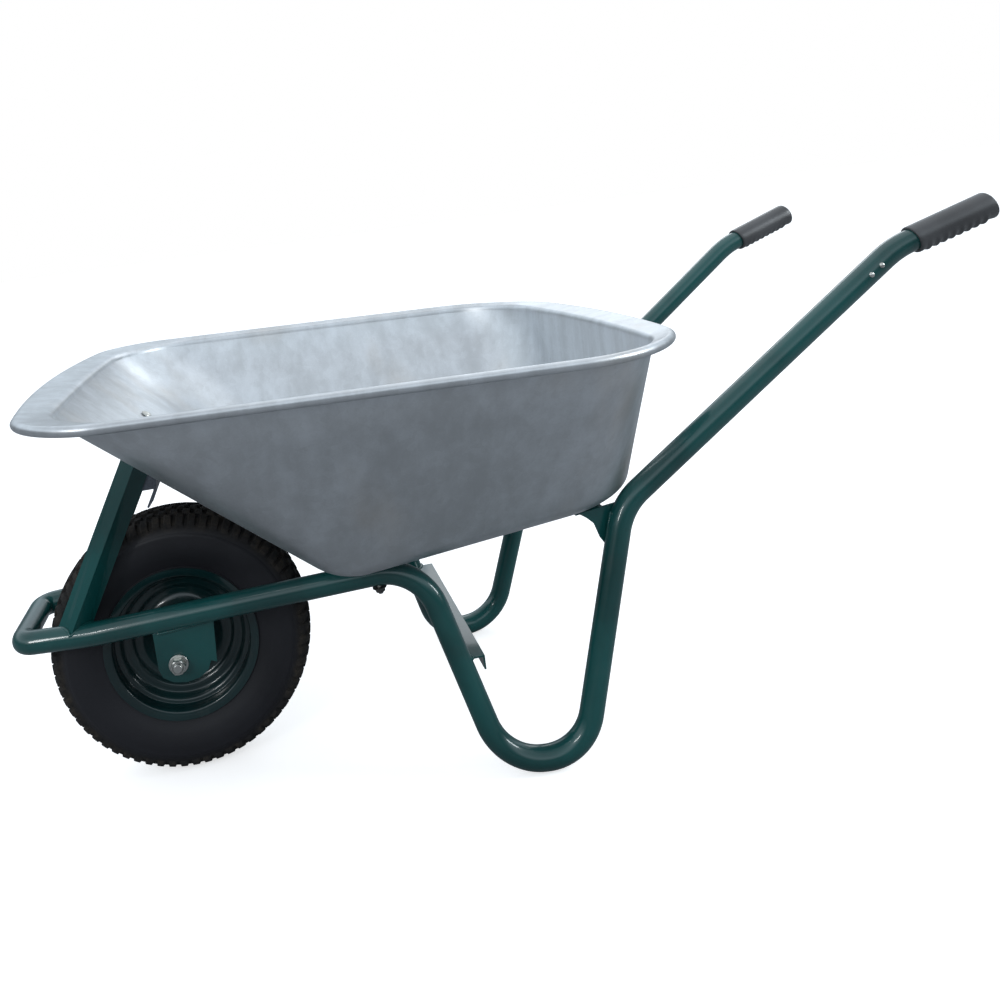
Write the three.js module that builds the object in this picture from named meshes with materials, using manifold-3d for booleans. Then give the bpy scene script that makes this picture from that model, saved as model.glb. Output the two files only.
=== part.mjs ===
// A single-wheel garden barrow: pressed steel tray, bent tube frame, angle-iron struts, pneumatic wheel.
// Millimetres, Z up, +X towards the handles. Built with the wheel centre over X = 0, then centred at the end.
import * as THREE from "three";
import { mergeVertices } from "three/addons/utils/BufferGeometryUtils.js";
import Module from "manifold-3d";

const wasm = await Module();
wasm.setup();

// ---- driving dimensions ----
const GAP = 0.3; // left between pieces that touch
const SIDES = { left: -1, right: 1 }; // as seen by the person who pushes it

const WHEEL = { radius: 190, halfWidth: 46, rimRadius: 112, seatRadius: 101 };
const AXLE = { radius: 7, halfLength: 110, bracketY: 92 };
const AXLE_NUT = { radius: 11, far: 15, washerRadius: 13.5, washerFar: 5 }; // far: out from the bracket's middle

const TUBE = { radius: 16, wall: 2, sides: 12 };
const SIDE_PLANE = { y: 124, perX: 0.148, perZ: -0.127 }; // the side frames spread rearwards and at the feet
const SIDE_PATH = [
  // x, z and bend radius at each corner of a side tube's centre line, from nose to handle
  { x: -175, z: 245, bend: 0 },
  { x: -112, z: 245.5, bend: 300 },
  { x: 345, z: 284, bend: 75 },
  { x: 416, z: 16, bend: 72 },
  { x: 525, z: 16, bend: 72 },
  { x: 630, z: 327, bend: 95 },
  { x: 1060, z: 625, bend: 140 },
  { x: 1192, z: 665, bend: 0 },
];
const NOSE_X = -212;
const NOSE_BEND = 21;
const GRIP = { length: 118, radius: 19.5, end: 5, ridges: 8, ridge: 1.6 };

const RIM_PLANE = { z: 583.3, slope: -0.029 };
const FLOOR_PLANE = { z: 267.6, slope: 0.1 };
const SHEET = 2;
const WALL_DROP = 7; // from the rim's plane down to the top of the wall, where the flange turns out
const CURL = 6.5; // radius of the rolled edge

// Outlines of the tray from above: the middle of the rolled edge, the top of the wall, the foot of the wall
// carried down to the floor's plane, and the flat of the floor inside its rounding.
const TRAY_EDGE = trayOutline(-96, 674, 358, [91, 148], [41, 46]);
const TRAY_TOP = trayOutline(-75, 653, 344, [124, 118], [16, 31]);
const TRAY_FOOT = trayOutline(230, 678, 190, [45, 130], [0, 0]);
const TRAY_FLAT = trayOutline(272, 630, 145, [12, 84], [0, 0]);
const FILLET = 0.1; // the share of the wall's height that the floor's rounding takes up

function trayOutline(front, rear, half, [frontCorner, rearCorner], [frontBow, rearBow]) {
  return { front, rear, half, frontCorner, rearCorner, frontBow, rearBow };
}

const STRUT = { x: -142, z: 246, lean: 28, leg: 30, thick: 3, ridgeY: 86 };
const BRACE = { x: 396, top: 152, width: 38, depth: 20, thick: 2.5, endGap: 4 };

const BOLT = { radius: 4, head: 9, headHeight: 4.5, nutRadius: 7.5, nutHeight: 7, flange: 10 };

// ---- materials ----
function paint(color, roughness, metalness) {
  return new THREE.MeshStandardMaterial({ color, roughness, metalness });
}
const GALVANISED = paint(0xa9afb2, 0.38, 0.9);
const GREEN = paint(0x1d5450, 0.32, 0.1);
const RUBBER = paint(0x1c1d20, 0.85, 0);
const GRIP_RUBBER = paint(0x47484a, 0.75, 0);
const ZINC = paint(0xc4c7c6, 0.35, 0.95);
const STEEL = paint(0x8d9194, 0.4, 0.95);

// ---- shape helpers ----
const vec = (x, y, z) => new THREE.Vector3(x, y, z);
const radians = THREE.MathUtils.degToRad;

function signedVolume(points, faces) {
  let volume = 0;
  for (let i = 0; i < faces.length; i += 3) {
    const [a, b, c] = [points[faces[i]], points[faces[i + 1]], points[faces[i + 2]]];
    volume += a.dot(b.clone().cross(c)) / 6;
  }
  return volume;
}

// Triangles over a flat ring of points, as places in the ring, turning the way the ring does.
function capFaces(ring) {
  const normal = vec(0, 0, 0);
  ring.forEach((point, i) => normal.add(point.clone().cross(ring[(i + 1) % ring.length])));
  const size = normal.toArray().map(Math.abs);
  const keep = ["x", "y", "z"].filter((_, axis) => axis !== size.indexOf(Math.max(...size)));
  const flat = ring.map((point) => new THREE.Vector2(point[keep[0]], point[keep[1]]));
  const turn = Math.sign(THREE.ShapeUtils.area(flat));
  return THREE.ShapeUtils.triangulateShape(flat, []).map((face) => {
    const own = Math.sign(THREE.ShapeUtils.area(face.map((i) => flat[i])));
    return own === turn ? face : [...face].reverse();
  });
}

// Two triangles over four corners, split along the shorter diagonal so that both faces of a sheet agree.
function quad(points, [a, b, c, d]) {
  const across = points[a].distanceToSquared(points[c]) <= points[b].distanceToSquared(points[d]);
  return across ? [a, b, c, a, c, d] : [a, b, d, b, c, d];
}

// Skins rings of equal length one after another, and caps the two ends or closes the loop on itself.
function loft(rings, closed = false) {
  const count = rings[0].length;
  const points = rings.flat();
  const faces = [];
  const spans = closed ? rings.length : rings.length - 1;
  for (let i = 0; i < spans; i += 1) {
    const here = i * count;
    const next = ((i + 1) % rings.length) * count;
    for (let j = 0; j < count; j += 1) {
      const k = (j + 1) % count;
      faces.push(...quad(points, [here + j, here + k, next + k, next + j]));
    }
  }
  if (!closed) {
    const last = (rings.length - 1) * count;
    for (const face of capFaces(rings[0])) faces.push(...face.reverse());
    for (const face of capFaces(rings.at(-1))) faces.push(...face.map((i) => last + i));
  }
  if (signedVolume(points, faces) < 0) faces.reverse();
  const geometry = new THREE.BufferGeometry().setFromPoints(points);
  geometry.setIndex(faces);
  return geometry;
}

function manifold(geometry) {
  const plain = geometry.index ? geometry.toNonIndexed() : geometry.clone();
  const bare = new THREE.BufferGeometry().setAttribute("position", plain.getAttribute("position"));
  const merged = mergeVertices(bare, 1e-3);
  return new wasm.Manifold(
    new wasm.Mesh({
      numProp: 3,
      vertProperties: merged.attributes.position.array,
      triVerts: new Uint32Array(merged.index.array),
    }),
  );
}

function fromManifold(solid) {
  const mesh = solid.getMesh();
  const geometry = new THREE.BufferGeometry();
  geometry.setAttribute("position", new THREE.BufferAttribute(mesh.vertProperties, 3));
  geometry.setIndex(new THREE.BufferAttribute(mesh.triVerts, 1));
  return geometry;
}

function cut(geometry, ...tools) {
  return fromManifold(tools.reduce((solid, tool) => solid.subtract(manifold(tool)), manifold(geometry)));
}

function join(...geometries) {
  return fromManifold(geometries.slice(1).reduce((solid, more) => solid.add(manifold(more)), manifold(geometries[0])));
}

function mirrored(geometry) {
  const copy = geometry.clone().scale(1, -1, 1);
  const order = Array.from(copy.index ? copy.index.array : copy.attributes.position.array.keys());
  copy.setIndex((copy.index ? order : order.slice(0, copy.attributes.position.count)).reverse());
  return copy;
}

// A round bar or a stepped one: outline points are radius and height along +Z, from base to top.
function turned(outline, segments) {
  const points = outline.map(([radius, height]) => new THREE.Vector2(radius, height));
  const geometry = new THREE.LatheGeometry(points, segments).rotateX(Math.PI / 2);
  const clean = mergeVertices(new THREE.BufferGeometry().setAttribute("position", geometry.attributes.position).setIndex(geometry.index), 1e-4);
  const array = clean.attributes.position.array;
  const corners = Array.from({ length: array.length / 3 }, (_, i) => vec(array[3 * i], array[3 * i + 1], array[3 * i + 2]));
  const faces = Array.from(clean.index.array);
  const sound = [];
  for (let i = 0; i < faces.length; i += 3) {
    const face = faces.slice(i, i + 3);
    if (new Set(face).size === 3) sound.push(...face);
  }
  if (signedVolume(corners, sound) < 0) sound.reverse();
  return clean.setIndex(sound);
}

function rod(radius, from, to, segments = 16) {
  return turned([[0, from], [radius, from], [radius, to], [0, to]], segments);
}

function pipe(outer, inner, from, to, segments = 20) {
  return turned([[inner, from], [outer, from], [outer, to], [inner, to], [inner, from]], segments);
}

// Stands a piece made along +Z on a point, pointing in a direction.
function aim(geometry, at, direction) {
  const turn = new THREE.Quaternion().setFromUnitVectors(vec(0, 0, 1), direction.clone().normalize());
  return geometry.clone().applyQuaternion(turn).translate(at.x, at.y, at.z);
}

// A flat outline in the X-Z plane, given thickness along Y from one Y to another.
function plate(outline, fromY, toY) {
  return loft([fromY, toY].map((y) => outline.map(([x, z]) => vec(x, y, z))));
}

// A sheet's closed outline from the middle of its thickness.
function sheetOutline(middle, thickness) {
  const sides = [[], []];
  middle.forEach((point, i) => {
    const before = middle[Math.max(i - 1, 0)];
    const after = middle[Math.min(i + 1, middle.length - 1)];
    const normal = new THREE.Vector2(before[1] - after[1], after[0] - before[0]).normalize();
    sides[0].push([point[0] + (normal.x * thickness) / 2, point[1] + (normal.y * thickness) / 2]);
    sides[1].unshift([point[0] - (normal.x * thickness) / 2, point[1] - (normal.y * thickness) / 2]);
  });
  return sides.flat();
}

// A path through corner points, each rounded to its own bend radius, every 12 degrees of turn or less.
function bentPath(corners, radii) {
  const path = [corners[0]];
  for (let i = 1; i < corners.length - 1; i += 1) {
    const into = corners[i].clone().sub(corners[i - 1]).normalize();
    const away = corners[i + 1].clone().sub(corners[i]).normalize();
    const turn = into.angleTo(away);
    const reach = radii[i] * Math.tan(turn / 2);
    const start = corners[i].clone().addScaledVector(into, -reach);
    const inward = away.clone().addScaledVector(into, -away.dot(into)).normalize();
    const steps = Math.max(2, Math.ceil(turn / radians(12)));
    for (let step = 0; step <= steps; step += 1) {
      const angle = (turn * step) / steps;
      const along = radii[i] * Math.sin(angle);
      const aside = radii[i] * (1 - Math.cos(angle));
      path.push(start.clone().addScaledVector(into, along).addScaledVector(inward, aside));
    }
  }
  path.push(corners.at(-1));
  return path;
}

// Circles round a flat path, each across it; the normal is the direction across the path's plane.
function pathRings(path, normal, radius) {
  return path.map((point, i) => {
    const before = path[Math.max(i - 1, 0)];
    const after = path[Math.min(i + 1, path.length - 1)];
    const across = after.clone().sub(before).normalize().cross(normal).normalize();
    return Array.from({ length: TUBE.sides }, (_, j) => {
      const angle = (2 * Math.PI * j) / TUBE.sides;
      return point
        .clone()
        .addScaledVector(across, radius * Math.cos(angle))
        .addScaledVector(normal, radius * Math.sin(angle));
    });
  });
}

function hollowTube(path, normal) {
  const outer = pathRings(path, normal, TUBE.radius);
  const inner = pathRings(path, normal, TUBE.radius - TUBE.wall).reverse();
  return loft([...outer, ...inner], true);
}

// ---- frame ----
function sideY(x, z) {
  return SIDE_PLANE.y + SIDE_PLANE.perX * x + SIDE_PLANE.perZ * z;
}

function onSide(x, z) {
  return vec(x, -sideY(x, z), z);
}

const sideNormal = vec(SIDE_PLANE.perX, 1, SIDE_PLANE.perZ).normalize();
const sidePath = bentPath(SIDE_PATH.map(({ x, z }) => onSide(x, z)), SIDE_PATH.map(({ bend }) => bend));
const sideClearance = loft(pathRings(sidePath, sideNormal, TUBE.radius + GAP));

function frameTube() {
  return hollowTube(sidePath, sideNormal);
}

function noseTube() {
  const [joint, next] = SIDE_PATH.map(({ x, z }) => onSide(x, z));
  const forward = joint.clone().sub(next).normalize();
  const start = joint.clone().addScaledVector(forward, GAP);
  const corner = joint.clone().addScaledVector(forward, (joint.x - NOSE_X) / -forward.x);
  const flip = (point) => vec(point.x, -point.y, point.z);
  const path = bentPath([start, corner, flip(corner), flip(start)], [0, NOSE_BEND, NOSE_BEND, 0]);
  const normal = forward.clone().cross(vec(0, 1, 0)).normalize();
  return hollowTube(path, normal);
}

// ---- tray ----
function planeZ(plane, x) {
  return plane.z + plane.slope * x;
}

// Points round an outline grown by so much on every side, lifted off the plane that it lies in.
function ring(shape, grow, plane, lift = 0) {
  const [front, rear, half] = [shape.front - grow, shape.rear + grow, shape.half + grow];
  const [frontCorner, rearCorner] = [shape.frontCorner + grow, shape.rearCorner + grow];
  const corners = [
    [rear - rearCorner, half - rearCorner, rearCorner, 0],
    [front + frontCorner, half - frontCorner, frontCorner, 90],
    [front + frontCorner, frontCorner - half, frontCorner, 180],
    [rear - rearCorner, rearCorner - half, rearCorner, 270],
  ];
  const arcs = corners.map(([x, y, radius, from]) =>
    Array.from({ length: 7 }, (_, step) => {
      const angle = radians(from + 15 * step);
      return vec(x + radius * Math.cos(angle), y + radius * Math.sin(angle), 0);
    }),
  );
  const flat = arcs.flatMap((arc, i) => {
    const next = arcs[(i + 1) % arcs.length][0];
    return [...arc, ...[0.25, 0.5, 0.75].map((share) => arc.at(-1).clone().lerp(next, share))];
  });
  const middle = (front + rear) / 2;
  return flat.map(({ x, y }) => {
    const bow = x < middle ? -shape.frontBow : shape.rearBow;
    const nearEnd = Math.min(1, Math.abs(x - middle) / (rear - middle));
    const bowed = x + bow * Math.max(0, 1 - (y / half) ** 2) * nearEnd ** 4;
    return vec(bowed, y, planeZ(plane, bowed) + lift);
  });
}

function between(ringA, ringB, share) {
  return ringA.map((point, i) => point.clone().lerp(ringB[i], share));
}

// One face of the pressed tray, from the flat of the floor to the top of the wall, set in by the sheet.
function trayFace(inset) {
  const flat = ring(TRAY_FLAT, -inset, FLOOR_PLANE, inset);
  const foot = ring(TRAY_FOOT, -inset, FLOOR_PLANE, inset);
  const top = ring(TRAY_TOP, -inset, RIM_PLANE, -inset - WALL_DROP);
  const rings = [flat];
  for (const share of [0.2, 0.4, 0.6, 0.8, 1]) {
    rings.push(between(between(flat, foot, share), between(foot, top, FILLET * share), share));
  }
  for (const share of [0.4, 0.7, 1]) rings.push(between(foot, top, share));
  return rings;
}

// A line along the flange, so far out from the wall's top to the rolled edge.
function flangeLine(share, inset, lift) {
  const top = ring(TRAY_TOP, -inset, RIM_PLANE, lift);
  return between(top, ring(TRAY_EDGE, 0, RIM_PLANE, lift), share);
}

function curlLine(degrees) {
  const [out, up] = [Math.cos(radians(degrees)) * CURL, Math.sin(radians(degrees)) * CURL];
  return ring(TRAY_EDGE, out, RIM_PLANE, up);
}

function tray() {
  const under = [flangeLine(0.1, 0, -2.5), flangeLine(0.24, 0, 0)];
  const curl = [200, 250, 300, 345, 30, 75, 120].map(curlLine);
  const over = [flangeLine(0.2, 0, SHEET + 0.6), flangeLine(0.08, SHEET, 0.5)];
  return loft([...trayFace(0), ...under, ...curl, ...over, ...trayFace(SHEET).reverse()]);
}

// ---- struts, brackets and brace ----
const bowedFront = TRAY_TOP.front - TRAY_TOP.frontBow;
const wallTop = vec(bowedFront, 0, planeZ(RIM_PLANE, bowedFront) - WALL_DROP);
const wallFoot = vec(TRAY_FOOT.front, 0, planeZ(FLOOR_PLANE, TRAY_FOOT.front));
const wallDirection = wallFoot.clone().sub(wallTop).normalize();
const wallNormal = vec(wallDirection.z, 0, -wallDirection.x); // out of the tray, down and forwards

// A point on the outside of the sloping front wall, so far down it, so far off it.
function onWall(down, off, y = 0) {
  return wallTop.clone().addScaledVector(wallDirection, down).addScaledVector(wallNormal, off).setY(y);
}

function strut() {
  const lean = radians(STRUT.lean);
  const along = vec(Math.sin(lean), 0, Math.cos(lean));
  const across = vec(Math.cos(lean), 0, -Math.sin(lean));
  const reach = STRUT.leg * Math.SQRT1_2;
  const thick = STRUT.thick * Math.SQRT1_2;
  const section = [
    [0, 0],
    [reach, reach],
    [reach - thick, reach + thick],
    [0, 2 * thick],
    [thick - reach, reach + thick],
    [-reach, reach],
  ];
  const ring = (s) =>
    section.map(([x, y]) =>
      vec(STRUT.x, y - STRUT.ridgeY, STRUT.z).addScaledVector(along, s).addScaledVector(across, x),
    );
  const wallSlab = plate(
    [onWall(-60, GAP + 0.2), onWall(260, GAP + 0.2), onWall(260, -120), onWall(-60, -120)].map(({ x, z }) => [x, z]),
    -150,
    0,
  );
  return cut(loft([ring(3), ring(330)]), sideClearance, wallSlab);
}

const PLATE_HALF = 61;
function strutPlate() {
  const flange = [onWall(84, 2), onWall(119, 2)].map(({ x, z }) => [x, z]);
  const web = [
    [1, 484],
    [0, 446],
    [-3, 428],
    [-8, 412],
    [-16, 402],
  ];
  const bent = plate(sheetOutline([...flange, ...web], 3), -PLATE_HALF, PLATE_HALF);
  const ear = [
    [0.4, 470],
    [-0.5, 446],
    [-3.5, 427],
    [-54, 427],
    [-30, 470],
  ];
  const ears = [-1, 1].map((side) => plate(ear, side * (PLATE_HALF - 3), side * PLATE_HALF));
  return join(bent, ...ears);
}

function axleBracket() {
  const half = 2;
  const foot = 24;
  const outline = [[-30, 262], [56, 262], [52, 182]];
  for (let degrees = 0; degrees >= -180; degrees -= 30) {
    const angle = radians(degrees);
    outline.push([8 + (foot + 12) * Math.cos(angle), WHEEL.radius - 4 + foot * Math.sin(angle)]);
  }
  const blank = plate(outline, -AXLE.bracketY - half, -AXLE.bracketY + half);
  const hole = aim(rod(AXLE.radius + GAP, -20, 20, 20), vec(0, -AXLE.bracketY, WHEEL.radius), vec(0, 1, 0));
  return cut(blank, sideClearance, hole);
}

// A channel between the legs, open below, with its web shaped to the tubes at each end.
function legBrace() {
  const [x0, x1] = [BRACE.x - BRACE.width / 2, BRACE.x + BRACE.width / 2];
  const low = BRACE.top - BRACE.depth;
  const outline = [
    [x0, BRACE.top],
    [x1, BRACE.top],
    [x1, low],
    [x1 - BRACE.thick, low],
    [x1 - BRACE.thick, BRACE.top - BRACE.thick],
    [x0 + BRACE.thick, BRACE.top - BRACE.thick],
    [x0 + BRACE.thick, low],
    [x0, low],
  ];
  const half = sideY(BRACE.x, BRACE.top) - BRACE.endGap;
  // Each end stops short of the leg's front, where the tube would leave a sliver of the channel.
  const notch = [[x0 - 9, 100], [376, 100], [384, 170], [x0 - 9, 170]];
  const notches = [-1, 1].map((side) => plate(notch, side * (half - 16), side * (half + 20)));
  return cut(plate(outline, -half, half), sideClearance, mirrored(sideClearance), ...notches);
}

const REAR_BOLT = { x: 583, y: 127 };
function rearBracket() {
  const y = sideY(590, 320) - 4;
  const web = [
    [566, 326],
    [640, 334],
    [626, 300],
    [602, 276],
    [596, 286],
    [590, 306],
    [580, 316],
  ];
  const upright = plate(web, -y - 2, -y + 2);
  const top = (x) => planeZ(FLOOR_PLANE, x) - GAP;
  const tabSide = [[566, top(566)], [606, top(606)], [606, top(606) - 4], [566, top(566) - 4]];
  const tab = plate(tabSide, -y + 2, -REAR_BOLT.y + 16);
  const sheetSpace = plate([[540, top(540)], [700, top(700)], [700, 420], [540, 420]], -260, -60);
  return cut(join(upright, tab), sheetSpace, sideClearance);
}

// ---- fasteners ----
function domedBolt(length) {
  const dome = [0, 25, 50, 75].map((degrees) => {
    const angle = radians(degrees);
    return [BOLT.head * Math.sin(angle), BOLT.headHeight * Math.cos(angle)];
  });
  return turned([[0, -length], [BOLT.radius, -length], [BOLT.radius, 0], [BOLT.head, 0], ...dome.reverse()], 12);
}

function hexagon(radius) {
  return Array.from({ length: 6 }, (_, i) => [radius * Math.cos(radians(60 * i)), radius * Math.sin(radians(60 * i))]);
}

// A nut with its washer face at Z = 0 and the nut above it.
function flangeNut(bore = BOLT.radius, radius = BOLT.nutRadius, height = BOLT.nutHeight, washer = BOLT.flange) {
  const hex = loft([0.5, height].map((z) => hexagon(radius).map(([x, y]) => vec(x, y, z))));
  return cut(join(hex, rod(washer, 0, 1.6, 16)), rod(bore + GAP, -5, height + 5, 12));
}

// Where each tray bolt goes through: a point on the outside of the sheet, and the way out of the tray.
const railZ = (x) => planeZ(FLOOR_PLANE, x);
const floorOut = vec(FLOOR_PLANE.slope, 0, -1).normalize();
const RAIL_BOLT_X = 284;
const TRAY_BOLTS = {
  front: { at: onWall(101, 0, -42), out: wallNormal, grip: 3.8 },
  middle: { at: vec(RAIL_BOLT_X, -sideY(RAIL_BOLT_X, 276), railZ(RAIL_BOLT_X)), out: floorOut, grip: 35.4 },
  rear: { at: vec(REAR_BOLT.x, -REAR_BOLT.y, railZ(REAR_BOLT.x)), out: floorOut, grip: 4.6 },
};

function trayBolt({ at, out, grip }) {
  const seat = at.clone().addScaledVector(out, -SHEET - GAP);
  return aim(domedBolt(SHEET + GAP + grip + BOLT.nutHeight + 3), seat, out.clone().negate());
}

function trayNut({ at, out, grip }) {
  return aim(flangeNut(), at.clone().addScaledVector(out, grip), out);
}

function boltHole({ at, out }) {
  return aim(rod(BOLT.radius + GAP, -12, 45, 12), at, out);
}

const boltHoles = Object.values(TRAY_BOLTS).map(boltHole);

// ---- wheel: every piece turns about Y through the wheel's centre ----
const wheelCentre = vec(0, 0, WHEEL.radius);
const alongAxle = vec(0, 1, 0);

function onAxle(geometry) {
  return aim(geometry, wheelCentre, alongAxle);
}

const LUGS = 16;
function tyre() {
  const { radius, halfWidth, seatRadius, rimRadius } = WHEEL;
  // radius and half width round one side of the section, from the crown to the bead; lug is the groove's depth
  const side = [
    [radius, 9, 6],
    [radius - 3, 24, 8],
    [radius - 9, 37, 9],
    [radius - 22, halfWidth - 2, 5],
    [radius - 45, halfWidth, 0],
    [rimRadius + 4, halfWidth - 7, 0],
    [rimRadius - 3, 36.2, 0],
    [seatRadius + GAP, 33.6, 0],
    [seatRadius + GAP, 24, 0],
    [seatRadius + 12, 25, 0],
    [radius - 40, halfWidth - 10, 0],
    [radius - 14, 20, 0],
  ];
  const section = [
    ...side.map(([r, w, deep]) => ({ r, y: -w, deep, side: 0 })),
    ...side.map(([r, w, deep]) => ({ r, y: w, deep, side: 1 })).reverse(),
  ];
  const rings = [];
  for (let lug = 0; lug < LUGS; lug += 1) {
    for (const part of [0, 0.08, 0.5, 0.58]) {
      const angle = (2 * Math.PI * (lug + part)) / LUGS;
      rings.push(
        section.map(({ r, y, deep, side: far }) => {
          const groove = far ? part === 0.08 || part === 0.5 : part === 0 || part === 0.58;
          const sunk = r - (groove ? deep : 0);
          return vec(sunk * Math.cos(angle), y * (groove && deep ? 0.985 : 1), WHEEL.radius + sunk * Math.sin(angle));
        }),
      );
    }
  }
  return loft(rings, true);
}

const RIM_MIDDLE = [
  // radius and distance from the wheel's middle of a rim half, from the hub to the flange
  [22.6, 32],
  [31, 32],
  [50, 9],
  [60, 2.2],
  [70, 2.2],
  [77, 8],
  [86, 9],
  [93, 17],
  [99.2, 20],
  [99.6, 35],
  [103, 38.2],
  [111.2, 39.4],
];
const VALVE = { angle: 118, y: 15, radius: 4 };

function valveLine(from, to, radius) {
  const direction = vec(Math.cos(radians(VALVE.angle)), 0, Math.sin(radians(VALVE.angle)));
  return aim(rod(radius, from, to, 12), wheelCentre.clone().setY(VALVE.y), direction);
}

function rimHalf(side) {
  const outline = sheetOutline(RIM_MIDDLE.map(([r, y]) => [r, side * y]), 2.2);
  return cut(onAxle(turned([...outline, outline[0]], 36)), valveLine(60, 120, VALVE.radius + 1));
}

function innerTube() {
  const section = Array.from({ length: 9 }, (_, i) => {
    const angle = (2 * Math.PI * (i % 8)) / 8;
    return [138 + 24 * Math.cos(angle), 28 * Math.sin(angle)];
  });
  return cut(onAxle(turned(section, 24)), valveLine(60, 125, VALVE.radius + 1));
}

function hub() {
  return onAxle(pipe(21, 17.5 + GAP, -51, 51));
}

function hexNut(bore, radius, from, to) {
  return cut(loft([from, to].map((z) => hexagon(radius).map(([x, y]) => vec(x, y, z)))), rod(bore, from - 5, to + 5, 16));
}

// ---- grips ----
function grip() {
  const tip = sidePath.at(-1);
  const back = sidePath.at(-2).clone().sub(tip).normalize();
  const up = back.clone().negate().cross(sideNormal).normalize();
  const raised = up.z > 0 ? up : up.negate();
  const ring = (distance, radius, scallop) =>
    Array.from({ length: 16 }, (_, i) => {
      const angle = (2 * Math.PI * i) / 16;
      const under = Math.max(0, -Math.sin(angle));
      const reach = radius + scallop * under;
      return tip
        .clone()
        .addScaledVector(back, distance)
        .addScaledVector(sideNormal, reach * Math.cos(angle))
        .addScaledVector(raised, reach * Math.sin(angle));
    });
  const bore = TUBE.radius + 2 * GAP;
  const open = GRIP.length - GRIP.end;
  const rings = [ring(-GAP, bore, 0), ring(open, bore, 0), ring(open, GRIP.radius - 1, 0), ring(open - 2, GRIP.radius, 0)];
  const ridged = open - 22;
  for (let i = 0; i <= 2 * GRIP.ridges; i += 1) {
    rings.push(ring(open - 8 - (ridged * i) / (2 * GRIP.ridges), GRIP.radius, i % 2 ? GRIP.ridge : -GRIP.ridge));
  }
  rings.push(ring(3, GRIP.radius, 0));
  rings.push(ring(1 - GRIP.end, GRIP.radius, 0));
  rings.push(ring(-GRIP.end, GRIP.radius - 2, 0));
  return loft(rings);
}

// ---- assembly ----
const barrow = new THREE.Group();
barrow.name = "wheelbarrow";

function add(name, geometry, material) {
  const mesh = new THREE.Mesh(geometry, material);
  mesh.name = name;
  barrow.add(mesh);
}

function addPair(name, geometry, material) {
  add(name + "_left", geometry, material);
  add(name + "_right", mirrored(geometry), material);
}

const bothHoles = [...boltHoles, ...boltHoles.map(mirrored)];
add("tray", cut(tray(), ...bothHoles), GALVANISED);

addPair("frame_tube", cut(frameTube(), boltHoles[1]), GREEN);
add("nose_tube", noseTube(), GREEN);
addPair("strut", strut(), GREEN);
add("strut_plate", cut(strutPlate(), ...bothHoles), STEEL);
addPair("axle_bracket", axleBracket(), GREEN);
add("leg_brace", legBrace(), GREEN);
addPair("rear_bracket", cut(rearBracket(), boltHoles[2]), GREEN);

for (const [place, bolt] of Object.entries(TRAY_BOLTS)) {
  addPair("tray_bolt_" + place, trayBolt(bolt), ZINC);
  addPair("tray_nut_" + place, trayNut(bolt), ZINC);
}

add("tyre", tyre(), RUBBER);
add("inner_tube", innerTube(), RUBBER);
add("rim_half_left", rimHalf(-1), GREEN);
add("rim_half_right", rimHalf(1), GREEN);
add("hub", hub(), GREEN);
add("valve_stem", valveLine(72, 110, VALVE.radius), ZINC);
add("valve_cap", valveLine(58, 72 - GAP, VALVE.radius + 1.2), RUBBER);
addPair("bearing", onAxle(pipe(17.5, AXLE.radius + GAP, -50, -39)), STEEL);
addPair("axle_spacer", onAxle(pipe(12, AXLE.radius + GAP, -AXLE.bracketY + 2.5, -50.5)), ZINC);
add("axle", onAxle(rod(AXLE.radius, -AXLE.halfLength, AXLE.halfLength, 20)), ZINC);
const washerFar = -AXLE.bracketY - AXLE_NUT.washerFar;
addPair("axle_washer", onAxle(pipe(AXLE_NUT.washerRadius, AXLE.radius + GAP, washerFar, washerFar + 2.5)), ZINC);
const nutFar = -AXLE.bracketY - AXLE_NUT.far;
addPair("axle_nut", onAxle(hexNut(AXLE.radius + GAP, AXLE_NUT.radius, nutFar, washerFar - GAP)), ZINC);

addPair("grip", grip(), GRIP_RUBBER);

// The part's own origin: on the ground, in the middle of its length.
const extent = new THREE.Box3().setFromObject(barrow);
const middleX = (extent.min.x + extent.max.x) / 2;
for (const mesh of barrow.children) mesh.geometry.translate(-middleX, 0, 0);

export default barrow;
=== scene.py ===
# A single-wheel garden barrow: galvanised pressed tray, green bent-tube frame, pneumatic wheel.
# Lengths are millimetres from the ground under the wheel's centre, +X towards the handles and +Z up.
import math

import bmesh
import bpy
from mathutils import Matrix, Vector


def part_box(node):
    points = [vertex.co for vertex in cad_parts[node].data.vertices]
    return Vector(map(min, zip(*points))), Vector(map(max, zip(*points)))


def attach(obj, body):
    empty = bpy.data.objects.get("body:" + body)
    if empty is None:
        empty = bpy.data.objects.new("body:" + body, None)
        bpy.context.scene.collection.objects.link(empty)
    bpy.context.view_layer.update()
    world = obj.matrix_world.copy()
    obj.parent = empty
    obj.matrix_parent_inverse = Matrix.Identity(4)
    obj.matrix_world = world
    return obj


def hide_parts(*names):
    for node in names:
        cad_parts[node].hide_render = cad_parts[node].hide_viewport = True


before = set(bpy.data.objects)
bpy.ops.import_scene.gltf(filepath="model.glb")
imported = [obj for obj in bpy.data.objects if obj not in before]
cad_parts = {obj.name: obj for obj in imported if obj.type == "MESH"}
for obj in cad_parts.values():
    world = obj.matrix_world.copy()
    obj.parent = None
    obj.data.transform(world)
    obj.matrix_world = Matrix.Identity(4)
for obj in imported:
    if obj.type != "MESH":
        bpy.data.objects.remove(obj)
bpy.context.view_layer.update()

# ---- driving dimensions ----
MM = 0.001
AXLE_LOW, AXLE_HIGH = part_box("axle")
# Where X = 0 of these millimetres lies in the part's frame, in metres.
ORIGIN_X = (AXLE_LOW.x + AXLE_HIGH.x) / 2

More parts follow.
